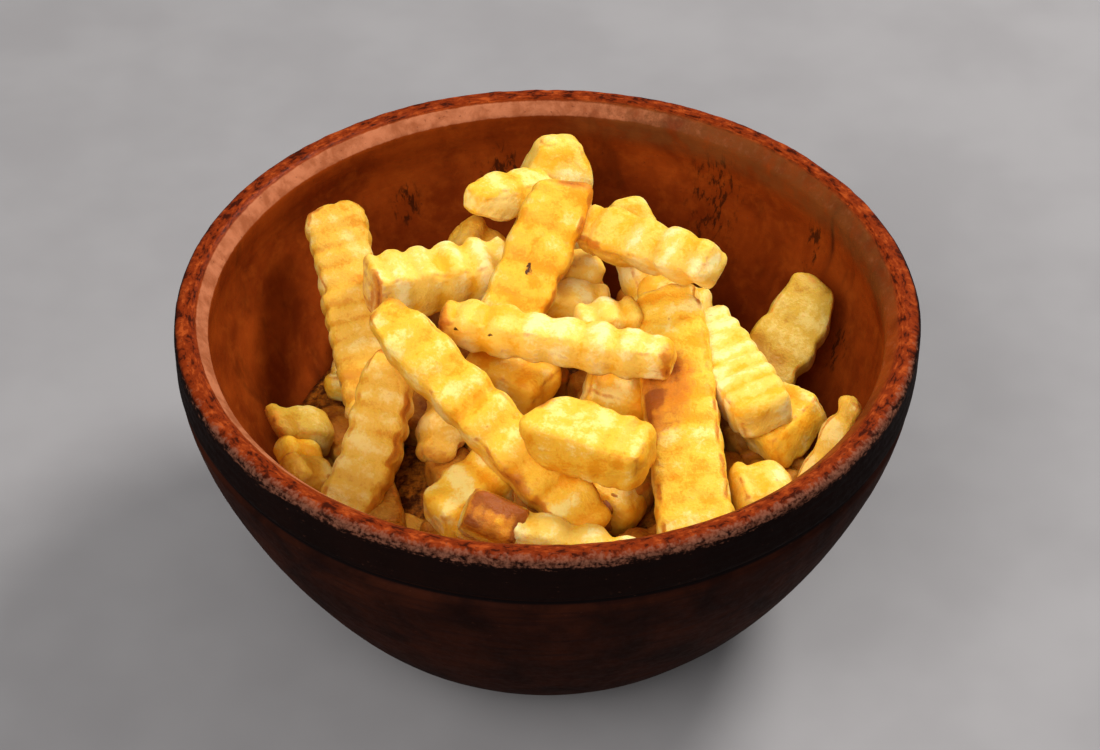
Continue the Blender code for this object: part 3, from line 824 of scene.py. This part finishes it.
def fry_material(kind):
    """Fried potato: creamy where raised (painted highlight), golden between, deeper in hollows (painted
    shade), browned edges.
    """
    raised, body, hollow, blister = KINDS[kind]
    nodes = Nodes(f"fried_potato_{kind}")
    browning = nodes.attribute("browning")
    shading_and_browning = nodes.attribute("shading_and_browning")
    cloud = nodes.noise(5.0 * MM, 3.0, 0.55)
    spots = nodes.noise(1.7 * MM, 3.0, 0.6)
    grain = nodes.noise(0.6 * MM, 3.0, 0.6)
    # The shading value plus random mottle picks the hollow, body or raised colour: painted shade and
    # highlight over the crust's own uneven tone.
    mottle = nodes.math("ADD", shading_and_browning, nodes.band(cloud, 0.25, 0.75, -0.26, 0.26))
    mottle = nodes.math("ADD", mottle, nodes.band(spots, 0.25, 0.75, -0.17, 0.17))
    mottle = nodes.math("ADD", mottle, nodes.band(grain, 0.25, 0.75, -0.13, 0.13))
    colour = nodes.mix(nodes.band(mottle, -0.05, 0.42), hollow, body)
    colour = nodes.mix(nodes.band(mottle, 0.48, 1.0, 0.0, 0.95), colour, raised)
    brown = nodes.math("ADD", browning, nodes.band(spots, 0.25, 0.75, -0.14, 0.14))
    brown = nodes.math("ADD", brown, nodes.band(cloud, 0.25, 0.75, -0.08, 0.08))
    brown = nodes.math("ADD", brown, nodes.band(grain, 0.25, 0.75, -0.06, 0.06))
    colour = nodes.mix(nodes.band(brown, 0.14, 0.60, 0.0, 0.90), colour, CRUST_AMBER)
    colour = nodes.mix(nodes.band(brown, 0.62, 1.20, 0.0, 0.92), colour, CRUST_BROWN)
    freckles = nodes.math("MULTIPLY", nodes.band(spots, 0.68, 0.76), 0.25 + 0.35 * blister)
    colour = nodes.mix(freckles, colour, CRUST_AMBER)
    colour = nodes.mix(nodes.band(nodes.math("ADD", nodes.attribute("fleck"),
                                             nodes.band(grain, 0.3, 0.7, -0.25, 0.25)), 0.35, 0.75),
                       colour, (0.10, 0.035, 0.010))
    nodes.feed(nodes.shader.inputs["Base Color"], colour)
    nodes.feed(nodes.shader.inputs["Roughness"], nodes.band(spots, 0.25, 0.75, 0.34, 0.56))
    nodes.shader.inputs["Specular IOR Level"].default_value = 0.14
    nodes.shader.inputs["Subsurface Weight"].default_value = 0.35
    nodes.shader.inputs["Subsurface Radius"].default_value = (1.0, 0.45, 0.12)
    nodes.shader.inputs["Subsurface Scale"].default_value = 2.4 * MM
    crust = nodes.bump(grain, (0.10 + 0.10 * blister) * MM, 1.0)
    crust = nodes.bump(spots, (0.16 + 0.20 * blister) * MM, 0.9, crust)
    nodes.feed(nodes.shader.inputs["Normal"], crust)
    return nodes.material


def bowl_material():
    """Mottled brown-red glaze, darkened on the outside as painted shade, nearly black on the collar, bare
    clay on the worn edges.
    """
    nodes = Nodes("glazed_terracotta_worn")
    inside, lip, chipped = (nodes.attribute(label) for label in ("inside", "lip", "chipped"))
    dull, stained, dripping = (nodes.attribute(label) for label in ("dull", "stained", "dripping"))
    place = nodes.add("ShaderNodeSeparateXYZ")
    nodes.feed(place.inputs[0], nodes.place)
    height = place.outputs["Z"]
    cloud = nodes.noise(14 * MM, 4.0, 0.6, 0.4)
    mottle = nodes.noise(4.5 * MM, 4.0, 0.6, 0.3)
    fine = nodes.noise(1.9 * MM, 5.0, 0.65)
    speck = nodes.noise(0.8 * MM, 3.0, 0.6)
    streak = nodes.noise(7 * MM, 4.0, 0.6, 0.2, stretch=(1.0, 1.0, 0.30))
    lines = nodes.noise(7 * MM, 3.0, 0.6, 0.0, stretch=(0.4, 0.4, 6.0))

    glaze_in = nodes.mix(nodes.band(cloud, 0.30, 0.70), (0.150, 0.020, 0.0022), (0.270, 0.044, 0.0045))
    glaze_in = nodes.mix(nodes.band(mottle, 0.45, 0.75, 0.0, 0.45), glaze_in, (0.34, 0.066, 0.007))
    glaze_in = nodes.mix(nodes.band(streak, 0.55, 0.75, 0.0, 0.55), glaze_in, (0.085, 0.014, 0.002))
    glaze_in = nodes.mix(nodes.band(speck, 0.66, 0.74, 0.0, 0.5), glaze_in, (0.040, 0.010, 0.004))
    wall_streak = nodes.noise(1.6 * MM, 4.0, 0.65, 0.3, stretch=(1.0, 1.0, 0.35))
    burnt = nodes.math("MULTIPLY", stained, nodes.band(wall_streak, 0.42, 0.70))
    glaze_in = nodes.mix(nodes.band(burnt, 0.05, 0.60, 0.0, 0.85), glaze_in, (0.030, 0.007, 0.002))
    glaze_in = nodes.mix(nodes.math("MULTIPLY", dripping, 0.85), glaze_in, (0.020, 0.006, 0.003))
    olive = nodes.math("MULTIPLY", dull, nodes.band(mottle, 0.25, 0.60, 0.15, 0.60))
    glaze_in = nodes.mix(olive, glaze_in, (0.120, 0.048, 0.013))

    # Outside: its own dark red-brown glaze, made far darker here as painted shade for the outside of the
    # bowl; the collar's glaze is nearly black.
    outer_glaze_and_shade = nodes.mix(nodes.band(cloud, 0.25, 0.75), (0.009, 0.0024, 0.0014), (0.034, 0.0075, 0.0030))
    outer_glaze_and_shade = nodes.mix(nodes.band(lines, 0.45, 0.75, 0.0, 0.6), outer_glaze_and_shade, (0.007, 0.002, 0.002))
    collar = nodes.band(height, GROOVE_HEIGHT, COLLAR_BOTTOM)
    outer_glaze_and_shade = nodes.mix(nodes.math("MULTIPLY", collar, 0.90), outer_glaze_and_shade, (0.004, 0.0015, 0.0012))
    groove = nodes.band(nodes.math("ABSOLUTE", nodes.math("SUBTRACT", height, GROOVE_HEIGHT)), 0.0009, 0.0003)
    outer_glaze_and_shade = nodes.mix(groove, outer_glaze_and_shade, (0.004, 0.002, 0.002))
    glaze = nodes.mix(inside, outer_glaze_and_shade, glaze_in)

    crest = nodes.math("MULTIPLY", nodes.band(height, COLLAR_TOP + 0.0011, COLLAR_TOP + 0.0019),
                       nodes.band(lip, 0.5, 0.1))
    round_rim = nodes.round_place(0.35)
    rim_streak = nodes.noise(1.0 * MM, 4.0, 0.65, 0.3, place=round_rim)
    crest_share = nodes.math("ADD", nodes.math("MULTIPLY", mottle, 0.40),
                             nodes.math("MULTIPLY", rim_streak, 0.60))
    crest_glaze = nodes.mix(nodes.band(crest_share, 0.40, 0.50), (0.040, 0.005, 0.0012),
                            (0.180, 0.021, 0.0026))
    crest_glaze = nodes.mix(nodes.band(crest_share, 0.50, 0.64), crest_glaze, (0.36, 0.060, 0.009))
    crest_glaze = nodes.mix(nodes.band(speck, 0.60, 0.70, 0.0, 0.7), crest_glaze, (0.025, 0.004, 0.002))
    glaze = nodes.mix(crest, glaze, crest_glaze)

    lip_share = nodes.band(nodes.math("ADD", lip, nodes.band(fine, 0.25, 0.75, -0.22, 0.12)), 0.12, 0.72)
    lip_clay = nodes.mix(nodes.band(mottle, 0.35, 0.65), (0.30, 0.085, 0.032), (0.46, 0.155, 0.070))
    lip_clay = nodes.mix(nodes.band(speck, 0.64, 0.72, 0.0, 0.7), lip_clay, (0.14, 0.035, 0.015))
    colour = nodes.mix(lip_share, glaze, lip_clay)
    bare_share = nodes.math("ADD", chipped, nodes.band(rim_streak, 0.25, 0.75, -0.60, 0.30))
    bare_share = nodes.math("ADD", bare_share, nodes.band(speck, 0.25, 0.75, -0.30, 0.25))
    bare = nodes.band(bare_share, 0.25, 0.90)
    bare_clay = nodes.mix(nodes.band(speck, 0.3, 0.7), (0.080, 0.022, 0.011), (0.24, 0.092, 0.054))
    colour = nodes.mix(nodes.math("MULTIPLY", bare, 0.70), colour, bare_clay)
    nodes.feed(nodes.shader.inputs["Base Color"], colour)
    gloss = nodes.band(fine, 0.3, 0.75, 0.32, 0.52)
    worn = nodes.math("MAXIMUM", nodes.math("MULTIPLY", bare, 0.40), nodes.math("MULTIPLY", lip_share, 0.22))
    worn = nodes.math("ADD", worn, nodes.band(inside, 0.0, 1.0, 0.35, 0.0))
    nodes.feed(nodes.shader.inputs["Roughness"], nodes.math("ADD", gloss, worn))
    nodes.shader.inputs["Specular IOR Level"].default_value = 0.03
    relief = nodes.bump(fine, 0.16 * MM, 0.5)
    relief = nodes.bump(speck, 0.06 * MM, 0.4, relief)
    relief = nodes.bump(lines, 0.20 * MM, 0.35, relief)
    nodes.feed(nodes.shader.inputs["Normal"], relief)
    return nodes.material


def floor_material():
    """Plain pale floor, very slightly uneven."""
    nodes = Nodes("floor_grey")
    cloud = nodes.noise(40 * MM, 3.0, 0.5)
    nodes.feed(nodes.shader.inputs["Base Color"],
               nodes.mix(nodes.band(cloud, 0.3, 0.7), (0.26, 0.25, 0.255), (0.29, 0.28, 0.285)))
    nodes.shader.inputs["Roughness"].default_value = 0.85
    return nodes.material


# ---------------------------------------------------------------- camera, floor, light

def make_camera():
    camera = bpy.data.objects.new("camera", bpy.data.cameras.new("camera"))
    camera.data.sensor_width = 36.0
    camera.data.lens = LENS_MM
    camera.data.clip_start = 0.01
    tilt = math.radians(VIEW_ELEVATION)
    target = Vector(VIEW_TARGET)
    camera.location = target + VIEW_DISTANCE * Vector((0.0, -math.cos(tilt), math.sin(tilt)))
    camera.rotation_euler = (0.5 * math.pi - tilt, 0.0, 0.0)
    bpy.context.scene.collection.objects.link(camera)
    bpy.context.scene.camera = camera


def make_floor():
    half = 3.0
    corners = [(-half, -half, 0.0), (half, -half, 0.0), (half, half, 0.0), (-half, half, 0.0)]
    floor = mesh_object("floor", corners, [(0, 1, 2, 3)], smooth=False)
    floor.data.materials.append(floor_material())


def area_light(name, place, aim, size, power, colour):
    lamp = bpy.data.lights.new(name, "AREA")
    lamp.shape = "DISK"
    lamp.size = size
    lamp.energy = power
    lamp.color = colour
    light = bpy.data.objects.new(name, lamp)
    light.location = place
    light.rotation_euler = (Vector(aim) - Vector(place)).to_track_quat("-Z", "Y").to_euler()
    bpy.context.scene.collection.objects.link(light)


def make_light():
    area_light("key", (0.55, 0.40, 0.85), (0.0, 0.0, 0.05), 0.35, 10.5, (1.0, 0.98, 0.95))
    area_light("fill", (-0.35, -0.65, 0.75), (0.0, 0.0, 0.05), 0.8, 8.5, (1.0, 0.98, 0.96))
    world = bpy.data.worlds.new("studio")
    world.use_nodes = True
    world.node_tree.nodes["Background"].inputs["Color"].default_value = (0.88, 0.89, 0.90, 1.0)
    world.node_tree.nodes["Background"].inputs["Strength"].default_value = 0.36
    bpy.context.scene.world = world
    bpy.context.scene.view_settings.view_transform = "Standard"


def main():
    make_camera()
    make_floor()
    make_light()
    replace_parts(make_bowl(), "bowl")
    for piece in make_fries() + [make_core()]:
        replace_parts(piece, "fries")


main()
